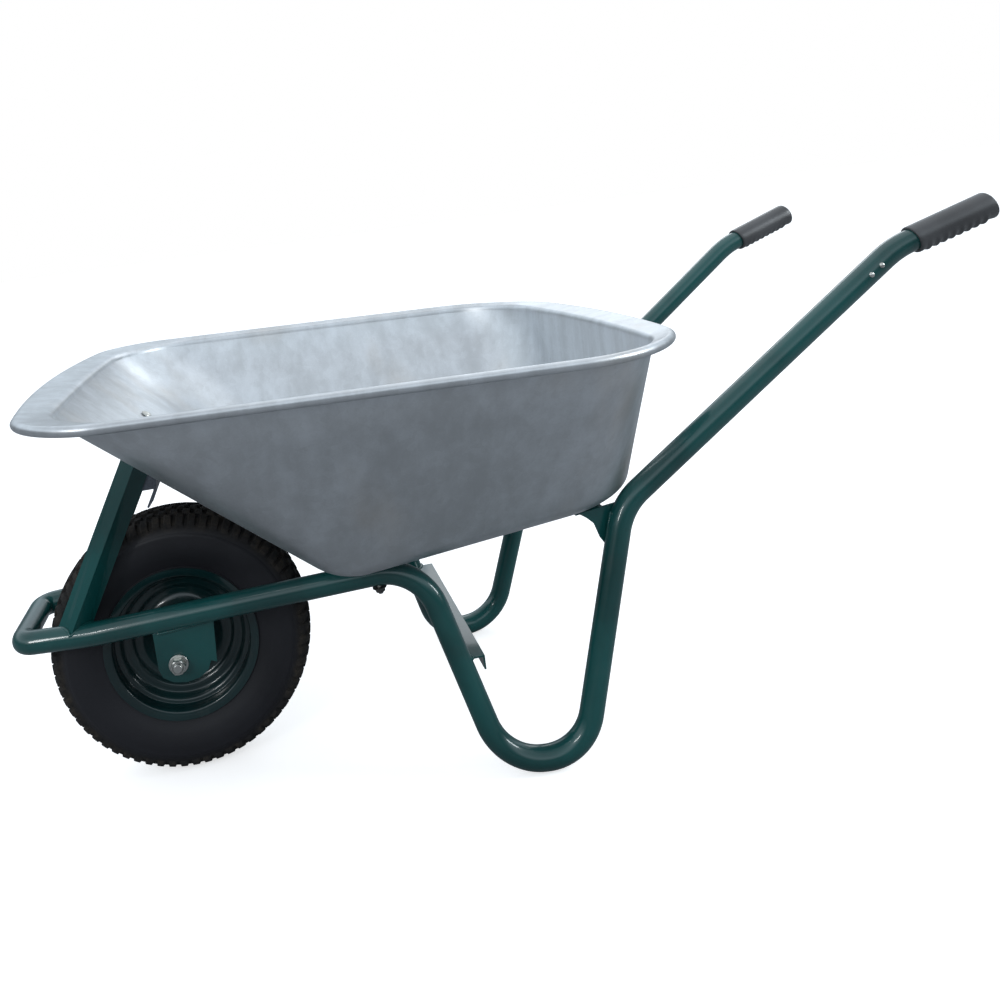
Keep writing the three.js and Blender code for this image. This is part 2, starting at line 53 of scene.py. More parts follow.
WHEEL_RADIUS = 190
TREAD_PITCHES = 66
TREAD_DEPTH = 4.2
TREAD_START = 160  # the radius from which the tread is cut
PITCH_STEPS, BLOCK_STEPS = 8, 5  # points to a pitch of the tread, and how many of them are on a block
DUST_START, DUST_FULL = 162, 174  # the radii between which the tread's dust sets in
AXLE_RADIUS = 7
AXLE_HALF = 110
BRACKET_Y = 92
BRACKET_FACE = 2.5  # from the middle of an axle bracket to where its washer or its spacer starts
AXLE_NUT = 11
AXLE_WASHER = 13.5
AXLE_WASHER_HEIGHT = 2.5
GAP = 0.3  # between pieces that rest on one another

TUBE_RADIUS = 16
TUBE_SIDES = 40
SIDE_Y = 124
SIDE_PER_X = 0.148
SIDE_PER_Z = -0.127
# x, z and bend radius at each corner of a side tube's centre line, from nose to handle
SIDE_PATH = (
    (-175, 245, 0),
    (-112, 245.5, 300),
    (345, 284, 75),
    (416, 16, 72),
    (525, 16, 72),
    (630, 327, 95),
    (1060, 625, 140),
    (1192, 665, 0),
)
RAIL_SLOPE = (SIDE_PATH[2][1] - SIDE_PATH[1][1]) / (SIDE_PATH[2][0] - SIDE_PATH[1][0])
NOSE_X = -212
NOSE_BEND = 21

GRIP_LENGTH = 118
GRIP_RADIUS = 19.5
GRIP_END = 5
GRIP_RIDGES = 8
RIDGE_HEIGHT = 1.6

BRACE_TOP = 152
WELD_RADIUS = 2.2
STRUT_X, STRUT_Z, STRUT_RIDGE = -142, 246, 86
STRUT_LEAN = math.radians(28)
STRUT_REACH = 30 * math.sqrt(0.5)  # how far each leg of a strut's angle section stands out sideways

SHEET = 2  # how far the inner face is set in, and lowered at the rim; leaning walls come out thinner
RIM_Z, RIM_SLOPE = 583.3, -0.029
FLOOR_Z, FLOOR_SLOPE = 267.6, 0.1
WALL_TOP_DROP = 7
CURL_RADIUS = 6.3
FILLET = 0.1  # the share of the wall's height that the floor's rounding takes up
# The tray from above: front, rear, half width, front and rear corner radius, front and rear bow.
TRAY_EDGE = (-96, 674, 358, 91, 148, 41, 46)
TRAY_TOP = (-75, 653, 344, 124, 118, 16, 31)
TRAY_FOOT = (230, 678, 190, 45, 130, 0, 0)
TRAY_FLAT = (272, 630, 145, 12, 84, 0, 0)
CORNER_STEPS = 18
SIDE_STEPS = 16
FILLET_STEPS = 16
FLANGE_STEPS = 8
FLANGE_RISE = 2.6  # from the rim's plane up to the flange's upper face
ROUND_UNDER, ROUND_OVER = 0.28, 0.26  # the shares of the flange's width that round into the wall
CURL_START, CURL_END, CURL_STEP = 200, 490, 14  # degrees round the rolled edge

RAIL_BOLT_X, RAIL_BOLT_Z = 284, 276
FRONT_BOLT_DOWN, FRONT_BOLT_Y = 101, -42
REAR_BOLT_X, REAR_BOLT_Y = 583, -127
BOLT_RADIUS = 4
BOLT_HEAD = 9
BOLT_HEAD_HEIGHT = 4.5
RIVET_PLACES = (("low", 1013), ("high", 1029))


# ---- where things are ----
def place(x, y, z):
    """A point of the part's frame, in metres, from this script's millimetres."""
    return Vector((ORIGIN_X + x * MM, y * MM, z * MM))


def side_y(x, z):
    return SIDE_Y + SIDE_PER_X * x + SIDE_PER_Z * z


def mirrored(points, side):
    """The left side is the negative Y one; the right side is its mirror image."""
    return [Vector((p.x, -p.y, p.z)) for p in points] if side == "right" else list(points)


# ---- shader nodes ----
class Value:
    """One output of a node. Arithmetic on it adds Math nodes to its finish."""

    def __init__(self, finish, socket):
        self.finish = finish
        self.socket = socket

    def math(self, operation, first, second):
        return self.finish.node("ShaderNodeMath", {"operation": operation}, first, second)

    def __add__(self, other):
        return self.math("ADD", self, other)

    def __sub__(self, other):
        return self.math("SUBTRACT", self, other)

    def __rsub__(self, other):
        return self.math("SUBTRACT", other, self)

    def __mul__(self, other):
        return self.math("MULTIPLY", self, other)

    __radd__ = __add__
    __rmul__ = __mul__

    def step(self, low, high):
        """0 below low, 1 above high, and smooth between them."""
        return self.finish.node("ShaderNodeMapRange", {"interpolation_type": "SMOOTHSTEP"}, self, low, high)


class Finish:
    """A procedural material round one Principled shader, whose constant sockets are given by name."""

    def __init__(self, name, constants):
        self.material = bpy.data.materials.new(name)
        self.material.use_nodes = True
        self.tree = self.material.node_tree
        self.shader = self.tree.nodes["Principled BSDF"]
        for socket, value in constants.items():
            self.shader.inputs[socket].default_value = value

    def feed(self, socket, value):
        if isinstance(value, Value):
            self.tree.links.new(value.socket, socket)
        elif socket.type == "RGBA":
            socket.default_value = (*value, 1)
        else:
            socket.default_value = value

    def node(self, kind, settings, *values, output=0, **sockets):
        made = self.tree.nodes.new(kind)
        for setting, value in settings.items():
            setattr(made, setting, value)
        in_use = [socket for socket in made.inputs if socket.enabled]
        for socket, value in zip(in_use, values):
            self.feed(socket, value)
        for name, value in sockets.items():
            self.feed(made.inputs[name], value)
        outputs = [socket for socket in made.outputs if socket.enabled]
        found = outputs[output] if isinstance(output, int) else made.outputs[output]
        return Value(self, found)

    def shade(self, **sockets):
        """Feeds the shader's own sockets, with _ for a space in their names."""
        for name, value in sockets.items():
            self.feed(self.shader.inputs[name.replace("_", " ")], value)

    def position(self, stretch=(1, 1, 1)):
        where = self.node("ShaderNodeTexCoord", {}, output="Object")
        return self.node("ShaderNodeMapping", {}, where, Scale=stretch)

    def noise(self, scale, detail=3, stretch=(1, 1, 1), rough=0.5):
        where = self.position(stretch)
        return self.node("ShaderNodeTexNoise", {}, where, Scale=scale, Detail=detail, Roughness=rough)

    def crystals(self, scale, stretch=(1, 1, 1)):
        """A different brightness in each cell, as on zinc that has set in crystals."""
        cells = self.node("ShaderNodeTexVoronoi", {}, self.position(stretch), Scale=scale, output="Color")
        return self.node("ShaderNodeSeparateColor", {}, cells, output="Red")

    def mixed(self, share, first, second):
        return self.node("ShaderNodeMix", {"data_type": "RGBA"}, share, first, second)

    def bumped(self, height, depth):
        """Height from 0 to 1 stands for a depth in millimetres."""
        return self.node("ShaderNodeBump", {}, Strength=1, Distance=depth * MM, Height=height)


# ---- finishes ----
def galvanised_sheet():
    finish = Finish("galvanised_sheet", {"Metallic": 0.88})
    clouds = finish.noise(3.0, 3)
    runs = finish.noise(30, 4, (1, 1, 0.06), 0.6)
    broad_runs = finish.noise(6, 2, (1, 1, 0.12))
    spangle = finish.crystals(90)
    fine = finish.noise(380, 2)
    tone = clouds * 0.14 + runs * 0.46 + broad_runs * 0.26 + spangle * 0.05 + fine * 0.09
    zinc = finish.mixed(tone.step(0.36, 0.66), (0.57, 0.59, 0.605), (0.73, 0.76, 0.79))
    warm = finish.noise(7, 3, (1, 1, 0.22)).step(0.54, 0.76)
    aged = finish.mixed(warm * 0.5, zinc, (0.55, 0.5, 0.44))
    scuffs = finish.noise(38, 4, (1, 1, 0.45), 0.7).step(0.68, 0.78)
    finish.shade(
        Base_Color=finish.mixed(scuffs * 0.3, aged, (0.22, 0.22, 0.22)),
        Roughness=0.3 + runs * 0.12 + broad_runs * 0.08 + scuffs * 0.12,
        Normal=finish.bumped(clouds * 0.4 + broad_runs * 0.5 + runs * 0.08 + fine * 0.02, 1.1),
    )
    return finish.material


def green_coat(name, base, light, dust):
    finish = Finish(name, {"Coat Weight": 0.7, "Coat Roughness": 0.07, "Specular IOR Level": 0.35})
    clouds = finish.noise(7, 4)
    peel = finish.noise(330, 2)
    chips = finish.noise(120, 3, (1, 1, 1), 0.65).step(0.74, 0.79)
    dirt = finish.noise(22, 5, (1, 1, 0.6), 0.7).step(0.5, 0.8) * dust
    coat = finish.mixed(clouds.step(0.35, 0.65), base, light)
    dusty = finish.mixed(dirt, coat, (0.1, 0.1, 0.09))
    finish.shade(
        Base_Color=finish.mixed(chips * 0.6, dusty, (0.005, 0.02, 0.02)),
        Roughness=0.26 + clouds * 0.08 + dirt * 0.5 + chips * 0.2,
        Normal=finish.bumped(peel - chips * 0.6, 0.05),
    )
    return finish.material


def plated(name, dull, bright, roughness, grain):
    finish = Finish(name, {"Metallic": 1.0})
    clouds = finish.noise(26, 4)
    lines = finish.noise(grain, 3, (1, 0.12, 1))
    stain = finish.noise(60, 4, (1, 1, 1), 0.7).step(0.55, 0.8)
    metal = finish.mixed((clouds * 0.6 + lines * 0.4).step(0.35, 0.65), dull, bright)
    finish.shade(
        Base_Color=finish.mixed(stain * 0.4, metal, (0.16, 0.14, 0.11)),
        Roughness=roughness + clouds * 0.12 + stain * 0.2,
        Normal=finish.bumped(lines * 0.5 + clouds * 0.5, 0.08),
    )
    return finish.material


def moulded_rubber(name, base, worn, roughness, grain, dust, specular=0.4):
    finish = Finish(name, {"Specular IOR Level": specular})
    clouds = finish.noise(9, 4)
    pores = finish.noise(grain, 3)
    dirt = finish.noise(30, 5, (1, 1, 1), 0.7).step(0.48, 0.75) * dust
    black = finish.mixed(clouds.step(0.35, 0.65), base, worn)
    finish.shade(
        Base_Color=finish.mixed(dirt, black, (0.06, 0.048, 0.036)),
        Roughness=roughness + clouds * 0.1 + dirt * 0.25,
        Normal=finish.bumped(pores, 0.12),
    )
    return finish.material


def tyre_rubber():
    """Smooth black walls whose colour is tinted blue as a painted sheen, and dry brown dust on the tread."""
    finish = Finish("tyre_rubber", {"Specular IOR Level": 0.45})
    clouds = finish.noise(9, 4)
    pores = finish.noise(500, 3)
    where = finish.node("ShaderNodeTexCoord", {}, output="Object")
    centre = (ORIGIN_X, 0, WHEEL_RADIUS * MM)
    spoke = finish.node("ShaderNodeVectorMath", {"operation": "SUBTRACT"}, where, centre)
    flat = finish.node("ShaderNodeVectorMath", {"operation": "MULTIPLY"}, spoke, (1, 0, 1))
    reach = finish.node("ShaderNodeVectorMath", {"operation": "LENGTH"}, flat, output="Value")
    tread = reach.step(DUST_START * MM, DUST_FULL * MM)
    dirt = finish.noise(45, 5, (1, 1, 1), 0.75).step(0.42, 0.68)
    # The walls' blue tint is a painted sheen, not a colour of the rubber.
    wall = finish.mixed(clouds.step(0.35, 0.65), (0.0085, 0.0085, 0.0115), (0.013, 0.013, 0.017))
    worn = finish.mixed(dirt, (0.009, 0.0085, 0.0085), (0.032, 0.025, 0.018))
    finish.shade(
        Base_Color=finish.mixed(tread, wall, worn),
        Roughness=0.5 + clouds * 0.08 + tread * 0.28,
        Normal=finish.bumped(pores, 0.1),
    )
    return finish.material


def stage_floor():
    """Pale where it is looked at, and dim in what the barrow reflects of it, as a workshop floor is."""
    finish = Finish("studio_floor", {"Roughness": 0.85, "Specular IOR Level": 0.1, "Emission Strength": 0.62})
    clouds = finish.noise(0.8, 3)
    finish.shade(Base_Color=finish.mixed(clouds, (0.8, 0.805, 0.81), (0.83, 0.835, 0.84)))
    finish.shader.inputs["Emission Color"].default_value = (1, 1, 1, 1)
    dim = finish.node("ShaderNodeBsdfDiffuse", {}, Color=(0.25, 0.255, 0.265))
    looked_at = finish.node("ShaderNodeLightPath", {}, output="Is Camera Ray")
    pale = Value(finish, finish.shader.outputs[0])
    chosen = finish.node("ShaderNodeMixShader", {}, looked_at, dim, pale)
    finish.tree.links.new(chosen.socket, finish.tree.nodes["Material Output"].inputs["Surface"])
    return finish.material


GALVANISED = galvanised_sheet()
GREEN = green_coat("green_coat", (0.003, 0.048, 0.046), (0.005, 0.082, 0.078), 0.1)
# The rim and hub coat is a darker copy of the frame's green: painted shade of the recessed wheel.
SHADED_RIM_GREEN = green_coat("rim_coat", (0.003, 0.017, 0.018), (0.004, 0.026, 0.027), 0.2)
# The strut plate's blue tint is a painted reflection of the sky, not a colour of the steel.
SKY_TINTED_PLATE_STEEL = plated("plate_steel", (0.1, 0.112, 0.13), (0.17, 0.19, 0.22), 0.4, 300)
# The flange nuts' zinc is darkened to sit as dark as the shade under the tray: painted shade.
SHADE_DARKENED_ZINC = plated("shade_darkened_zinc", (0.1, 0.1, 0.095), (0.2, 0.2, 0.19), 0.42, 500)
ZINC = plated("zinc_plate", (0.5, 0.5, 0.47), (0.66, 0.66, 0.62), 0.24, 500)
BEARING_STEEL = plated("bearing_steel", (0.22, 0.22, 0.23), (0.35, 0.35, 0.36), 0.2, 600)
TYRE_RUBBER = tyre_rubber()
INNER_RUBBER = moulded_rubber("inner_rubber", (0.012, 0.012, 0.012), (0.02, 0.02, 0.02), 0.6, 300, 0.1)
CAP_RUBBER = moulded_rubber("cap_rubber", (0.01, 0.01, 0.01), (0.018, 0.018, 0.018), 0.45, 700, 0.2)
GRIP_RUBBER = moulded_rubber("grip_rubber", (0.045, 0.045, 0.047), (0.068, 0.069, 0.072), 0.3, 650, 0.1, 0.7)


# ---- mesh making ----
def finished(name, mesh, finish, body, stands_for=(), sharp=35):
    """Closes the mesh's shading, gives it its finish, and fixes it to a body of the frame."""
    work = bmesh.new()
    work.from_mesh(mesh)
    bmesh.ops.recalc_face_normals(work, faces=work.faces)
    work.to_mesh(mesh)
    work.free()
    mesh.shade_smooth()
    mesh.set_sharp_from_angle(angle=math.radians(sharp))
    mesh.materials.append(finish)
    made = bpy.data.objects.new(name, mesh)
    bpy.context.scene.collection.objects.link(made)
    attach(made, body)
    if stands_for:
        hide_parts(*stands_for)
    return made


def skinned(name, rings, closed=False):
    """A mesh over rings of as many points each, one after another; it closes on itself or has two ends."""
    count = len(rings[0])
    points = [point for ring in rings for point in ring]
    faces = []
    for i in range(len(rings) if closed else len(rings) - 1):
        here, after = i * count, (i + 1) % len(rings) * count
        for j in range(count):
            k = (j + 1) % count
            faces.append((here + j, here + k, after + k, after + j))
    if not closed:
        last = (len(rings) - 1) * count
        faces.append(tuple(reversed(range(count))))
        faces.append(tuple(range(last, last + count)))
    mesh = bpy.data.meshes.new(name)
    mesh.from_pydata([place(*point) for point in points], [], faces)
    return mesh


def direction_frame(direction):
    """Two directions square to one another and to the given one."""
    forward = direction.normalized()
    start = Vector((0, 0, 1)) if abs(forward.z) < 0.9 else Vector((1, 0, 0))
    across = forward.cross(start).normalized()
    return across, forward.cross(across)


def circle(centre, across, upward, radius, sides):
    """Points round a centre; radius is a number, or a function of the angle."""
    ring = []
    for j in range(sides):
        angle = 2 * math.pi * j / sides
        reach = radius(angle) if callable(radius) else radius
        ring.append(centre + across * (reach * math.cos(angle)) + upward * (reach * math.sin(angle)))
    return ring


def turned(name, outline, centre, direction, sides=64):
    """Turns a closed outline of radius and height about a line through the centre."""
    across, upward = direction_frame(direction)
    forward = direction.normalized()
    rings = [circle(centre + forward * z, across, upward, max(r, 0.01), sides) for r, z in outline]
    return skinned(name, rings, closed=outline[0][0] > 0.5)


def bent_path(corners, radii, turn_step):
    """A path through corners, each rounded to its own radius, with a point every few degrees."""
    path = [corners[0]]
    for i in range(1, len(corners) - 1):
        into = (corners[i] - corners[i - 1]).normalized()
        away = (corners[i + 1] - corners[i]).normalized()
        turn = into.angle(away)
        start = corners[i] - into * (radii[i] * math.tan(turn / 2))
        inward = (away - into * away.dot(into)).normalized()
        steps = max(2, math.ceil(turn / math.radians(turn_step)))
        for step in range(steps + 1):
            angle = turn * step / steps
            along = into * (radii[i] * math.sin(angle))
            path.append(start + along + inward * (radii[i] * (1 - math.cos(angle))))
    path.append(corners[-1])
    return path


def path_rings(path, normal, radius, sides):
    rings = []
    for i, point in enumerate(path):
        before = path[max(i - 1, 0)]
        after = path[min(i + 1, len(path) - 1)]
        across = (after - before).normalized().cross(normal).normalized()
        rings.append(circle(point, across, normal, radius, sides))
    return rings


def smooth_line(points, per_span):
    """A curve through points, with a few more points in each span."""
    line = []
    for i in range(len(points) - 1):
        four = [Vector(points[min(max(i + k, 0), len(points) - 1)]) for k in (-1, 0, 1, 2)]
        for step in range(per_span):
            t = step / per_span
            pull = (four[2] - four[0]) * t
            bend = (four[0] * 2 - four[1] * 5 + four[2] * 4 - four[3]) * t * t
            close = (four[1] * 3 - four[0] - four[2] * 3 + four[3]) * t**3
            line.append(four[1] + (pull + bend + close) / 2)
    line.append(Vector(points[-1]))
    return line


def sheet_outline(middle, thickness):
    """The closed outline of a sheet, from the line along the middle of its thickness."""
    outer, inner = [], []
    for i, point in enumerate(middle):
        along = middle[min(i + 1, len(middle) - 1)] - middle[max(i - 1, 0)]
        normal = Vector((-along.y, along.x)).normalized() * (thickness / 2)
        outer.append(point + normal)
        inner.append(point - normal)
    return outer + inner[::-1]


# ---- tray ----
def rim_height(x):
    return RIM_Z + RIM_SLOPE * x


def floor_height(x):
    return FLOOR_Z + FLOOR_SLOPE * x


def tray_ring(shape, grow, height, lift):
    """Points round the tray at one level: an outline grown all round, with round corners and bowed ends."""
    front, rear, half, front_corner, rear_corner, front_bow, rear_bow = shape
    front, rear, half = front - grow, rear + grow, half + grow
    front_corner, rear_corner = front_corner + grow, rear_corner + grow
    corners = (
        (rear - rear_corner, half - rear_corner, rear_corner, 0),
        (front + front_corner, half - front_corner, front_corner, 90),
        (front + front_corner, front_corner - half, front_corner, 180),
        (rear - rear_corner, rear_corner - half, rear_corner, 270),
    )
    arcs = []
    for x, y, radius, start in corners:
        angles = [math.radians(start + 90 / CORNER_STEPS * step) for step in range(CORNER_STEPS + 1)]
        arcs.append([(x + radius * math.cos(a), y + radius * math.sin(a)) for a in angles])
    flat = []
    for arc, after in zip(arcs, arcs[1:] + arcs[:1]):
        flat += arc
        for step in range(1, SIDE_STEPS):
            share = step / SIDE_STEPS
            flat.append([a + (b - a) * share for a, b in zip(arc[-1], after[0])])
    middle = (front + rear) / 2
    ring = []
    for x, y in flat:
        bow = rear_bow if x > middle else -front_bow
        near_end = min(1, abs(x - middle) / (rear - middle))
        bowed = x + bow * max(0, 1 - (y / half) ** 2) * near_end**4
        ring.append(Vector((bowed, y, height(bowed) + lift)))
    return ring


def between(first, second, share):
    return [a.lerp(b, share) for a, b in zip(first, second)]


def flange_line(share, inset, lift):
    """A line along the flange, so far out from the wall's top to the rolled edge."""
    wall_top = tray_ring(TRAY_TOP, -inset, rim_height, lift)
    edge = tray_ring(TRAY_EDGE, 0, rim_height, lift)
    return between(wall_top, edge, share)


def curl_line(degrees):
    """One line round the rolled edge."""
    out = math.cos(math.radians(degrees)) * CURL_RADIUS
    up = math.sin(math.radians(degrees)) * CURL_RADIUS
    return tray_ring(TRAY_EDGE, out, rim_height, up)


def tray_wall(inset):
    """One face of the sheet, from the flat of the floor to the top of the wall."""
    flat = tray_ring(TRAY_FLAT, -inset, floor_height, inset)
    foot = tray_ring(TRAY_FOOT, -inset, floor_height, inset)
    top = tray_ring(TRAY_TOP, -inset, rim_height, -inset - WALL_TOP_DROP)
    rings = [flat]
    for step in range(1, FILLET_STEPS + 1):
        share = step / FILLET_STEPS
        rings.append(between(between(flat, foot, share), between(foot, top, FILLET * share), share))
    return rings + [between(foot, top, share) for share in (0.3, 0.55, 0.8, 1)]


def pressed_tray():
    under, over = [], []
    for step in range(1, FLANGE_STEPS + 1):
        share = step / FLANGE_STEPS
        left = 1 - share
        under.append(flange_line(ROUND_UNDER * share**2, 0, -WALL_TOP_DROP * left**2))
        lift = FLANGE_RISE * (left**2 + 2 * share * left) - (WALL_TOP_DROP + SHEET) * share**2
        over.append(flange_line(ROUND_OVER * left**2, SHEET * share, lift))
    curl = [curl_line(degrees) for degrees in range(CURL_START, CURL_END, CURL_STEP)]
    rings = tray_wall(0) + under + curl + over + tray_wall(SHEET)[::-1][1:]
    mesh = skinned("tray_sheet", rings)
    return finished("tray_sheet", mesh, GALVANISED, "frame", ["tray"], 50)


# ---- tubes and grips ----
SIDE_NORMAL = Vector((SIDE_PER_X, 1, SIDE_PER_Z)).normalized()
SIDE_CORNERS = [Vector((x, -side_y(x, z), z)) for x, z, _ in SIDE_PATH]
SIDE_LINE = bent_path(SIDE_CORNERS, [bend for _, _, bend in SIDE_PATH], 3)


def side_tube(side):
    rings = path_rings(SIDE_LINE, SIDE_NORMAL, TUBE_RADIUS, TUBE_SIDES)
    mesh = skinned("side_tube_" + side, [mirrored(ring, side) for ring in rings])
    return finished("side_tube_" + side, mesh, GREEN, "frame", ["frame_tube_" + side])


def nose_bar():
    forward = (SIDE_CORNERS[0] - SIDE_CORNERS[1]).normalized()
    corner = SIDE_CORNERS[0] + forward * ((SIDE_CORNERS[0].x - NOSE_X) / -forward.x)
    ends = mirrored([corner, SIDE_CORNERS[0]], "right")
    path = bent_path([SIDE_CORNERS[0], corner, *ends], [0, NOSE_BEND, NOSE_BEND, 0], 4)
    normal = forward.cross(Vector((0, 1, 0))).normalized()
    mesh = skinned("nose_bar", path_rings(path, normal, TUBE_RADIUS, TUBE_SIDES))
    return finished("nose_bar", mesh, GREEN, "frame", ["nose_tube"])


def ridged_grip(side):
    """A moulded sleeve, smooth on top and scalloped beneath for the fingers."""
    tip = SIDE_CORNERS[-1]
    back = (SIDE_LINE[-2] - tip).normalized()
    upward = SIDE_NORMAL.cross(back).normalized()
    upward = upward if upward.z > 0 else -upward
    open_end = GRIP_LENGTH - GRIP_END
    first, last = open_end - 8, 8

    def ring(distance, radius, scallop=0):
        def reach(angle):
            return radius + scallop * max(0, -math.sin(angle)) ** 2.5

        return mirrored(circle(tip + back * distance, SIDE_NORMAL, upward, reach, 56), side)

    bore = TUBE_RADIUS + GAP
    rings = [ring(1, bore), ring(open_end, bore)]
    rings += [ring(open_end, GRIP_RADIUS - 1), ring(open_end - 0.5, GRIP_RADIUS - 0.3)]
    rings += [ring(open_end - 1.5, GRIP_RADIUS), ring(open_end - 5, GRIP_RADIUS)]
    steps = GRIP_RIDGES * 10
    for step in range(steps + 1):
        turn = 2 * math.pi * GRIP_RIDGES * step / steps
        wave = 1 - 2 * abs(math.cos(turn / 2)) ** 1.6
        rings.append(ring(first + (last - first) * step / steps, GRIP_RADIUS, RIDGE_HEIGHT * wave))
    for step in range(6):
        angle = math.radians(18 * step)
        distance = 2.5 - GRIP_END - 2.5 * math.sin(angle)
        rings.append(ring(distance, GRIP_RADIUS - 2.5 * (1 - math.cos(angle))))
    mesh = skinned("ridged_grip_" + side, rings)
    return finished("ridged_grip_" + side, mesh, GRIP_RUBBER, "frame", ["grip_" + side], 45)


# ---- wheel ----
AXLE_CENTRE = Vector((0, 0, WHEEL_RADIUS))
AXLE_LINE = Vector((0, 1, 0))


def tread_row(half_width):
    """Which row of blocks a place on the tread is in: 0 for the middle, then 1 and 2, or None in a groove."""
    rows = ((0, 7.5), (11, 21), (24.5, 40))
    for row, (low, high) in enumerate(rows):
        if low <= half_width <= high:
            return row
    return None


def tyre_section():
    """Radius, half width and whether there is tread, from the crown to the bead and back inside."""
    crown = smooth_line([(190, 0), (189.4, 12), (187, 24), (180.5, 36), (169, 43.6), (158, 45.6)], 9)
    wall = smooth_line([(158, 45.6), (145, 46), (131, 43.6), (118, 39.2), (113, 37.6)], 6)[1:]
    ring = [Vector(p) for p in ((112.2, 38.6), (110.8, 38.4), (110, 36.6), (101.4, 33.6), (101.4, 24))]
    inside = [Vector(p) for p in ((113, 25), (150, 36), (176, 20), (177, 0))]
    return crown, wall + ring + inside


def moulded_tyre():
    crown, rest = tyre_section()
    half = [(p, True) for p in crown] + [(p, False) for p in rest]
    section = [(p.x, -p.y, tread) for p, tread in half[::-1]] + [(p.x, p.y, tread) for p, tread in half[1:]]
    section = section[1:]
    rings = []
    steps = TREAD_PITCHES * PITCH_STEPS
    for step in range(steps):
        angle = 2 * math.pi * step / steps
        ring = []
        for radius, y, tread in section:
            row = tread_row(abs(y)) if radius > TREAD_START else None
            phase = (step + (4 if row == 1 else 0) + (2 if y > 0 else 0)) % PITCH_STEPS
            on_block = row is not None and phase < BLOCK_STEPS
            fade = min(1, max(0, (radius - TREAD_START) / 8)) if tread else 0
            sunk = radius - (0 if on_block else TREAD_DEPTH * fade)
            squeeze = 1 if on_block or not tread else 1 - 0.02 * fade
            ring.append(Vector((sunk * math.cos(angle), y * squeeze, WHEEL_RADIUS + sunk * math.sin(angle))))
        rings.append(ring)
    mesh = skinned("moulded_tyre", rings, closed=True)
    return finished("moulded_tyre", mesh, TYRE_RUBBER, "wheel", ["tyre"], 28)


RIM_MIDDLE = (
    # radius and distance from the wheel's middle of a rim half, from the hub to the flange
    (22.6, 32),
    (31, 32),
    (50, 9),
    (60, 2.2),
    (70, 2.2),
    (77, 8),
    (86, 9),
    (93, 17),
    (99.2, 20),
    (99.6, 35),
    (103, 38.2),
    (111.2, 39.4),
)


def pressed_rim(side):
    facing = -1 if side == "left" else 1
    middle = [Vector((p.x, facing * p.y)) for p in smooth_line(RIM_MIDDLE, 5)]
    outline = [(p.x, p.y) for p in sheet_outline(middle, 2.2)]
    mesh = turned("pressed_rim_" + side, outline, AXLE_CENTRE, AXLE_LINE, 128)
    name = "pressed_rim_" + side
    return finished(name, mesh, SHADED_RIM_GREEN, "wheel", ["rim_half_" + side], 60)


def ring_outline(outer, inner, low, high, edge=0.8):
    """A washer or sleeve with its outer edges broken."""
    return [
        (inner, low),
        (outer - edge, low),
        (outer, low + edge),
        (outer, high - edge),
        (outer - edge, high),
        (inner, high),
    ]


def threaded(radius, low, high, pitch=1.25, depth=0.45):
    """The outline of a threaded length, as rings."""
    outline = []
    for i in range(int((high - low) / pitch)):
        outline += [(radius - depth, low + i * pitch), (radius, low + (i + 0.5) * pitch)]
    return outline


def hub_pieces():
    """The hub, its bearings, and the axle with its spacers and washers, each turned about the axle."""
    mesh = turned("hub_tube", ring_outline(21, 17.5, -51, 51), AXLE_CENTRE, AXLE_LINE)
    finished("hub_tube", mesh, SHADED_RIM_GREEN, "wheel", ["hub"])
    tip = [(0, -AXLE_HALF), (AXLE_RADIUS - 1.6, -AXLE_HALF), (AXLE_RADIUS - 0.6, 1 - AXLE_HALF)]
    ends = [*tip, *threaded(AXLE_RADIUS, 1.5 - AXLE_HALF, -88)]
    shaft = [*ends, *[(radius, -z) for radius, z in ends[::-1]]]
    mesh = turned("axle_bolt", shaft, AXLE_CENTRE, AXLE_LINE, 40)
    finished("axle_bolt", mesh, ZINC, "frame", ["axle"])
    for side, facing in (("left", -1), ("right", 1)):
        outward = AXLE_LINE * facing
        shield = [(15.6, 50), (15.2, 49.4), (10.6, 49.4), (10.2, 50)]
        race = [(7.4, 39), (17.4, 39), (17.4, 50), *shield, (7.4, 50)]
        sleeve = ring_outline(12, AXLE_RADIUS + GAP, 50.6, BRACKET_Y - BRACKET_FACE, 0.5)
        washer_low = BRACKET_Y + BRACKET_FACE
        washer_high = washer_low + AXLE_WASHER_HEIGHT
        washer = ring_outline(AXLE_WASHER, AXLE_RADIUS + GAP, washer_low, washer_high, 0.5)
        rows = (
            ("ball_bearing", race, BEARING_STEEL, "wheel", "bearing_steel", "bearing"),
            ("spacer_sleeve", sleeve, ZINC, "frame", "zinc", "axle_spacer"),
            ("flat_washer", washer, ZINC, "frame", "zinc", "axle_washer"),
        )
        for name, outline, finish, body, slot, node in rows:
            name = f"{name}_{side}"
            mesh = turned(name, outline, AXLE_CENTRE, outward)
            finished(name, mesh, finish, body, [f"{node}_{side}"])


# ---- fasteners ----
def hexagon_reach(corner_radius, limit):
    """How far a hexagon with its corners turned off reaches at an angle."""

    def reach(angle):
        turn = (angle + math.pi / 6) % (math.pi / 3) - math.pi / 6
        return min(corner_radius * math.cos(math.pi / 6) / math.cos(math.pi / 6 - abs(turn)), limit)

    return reach


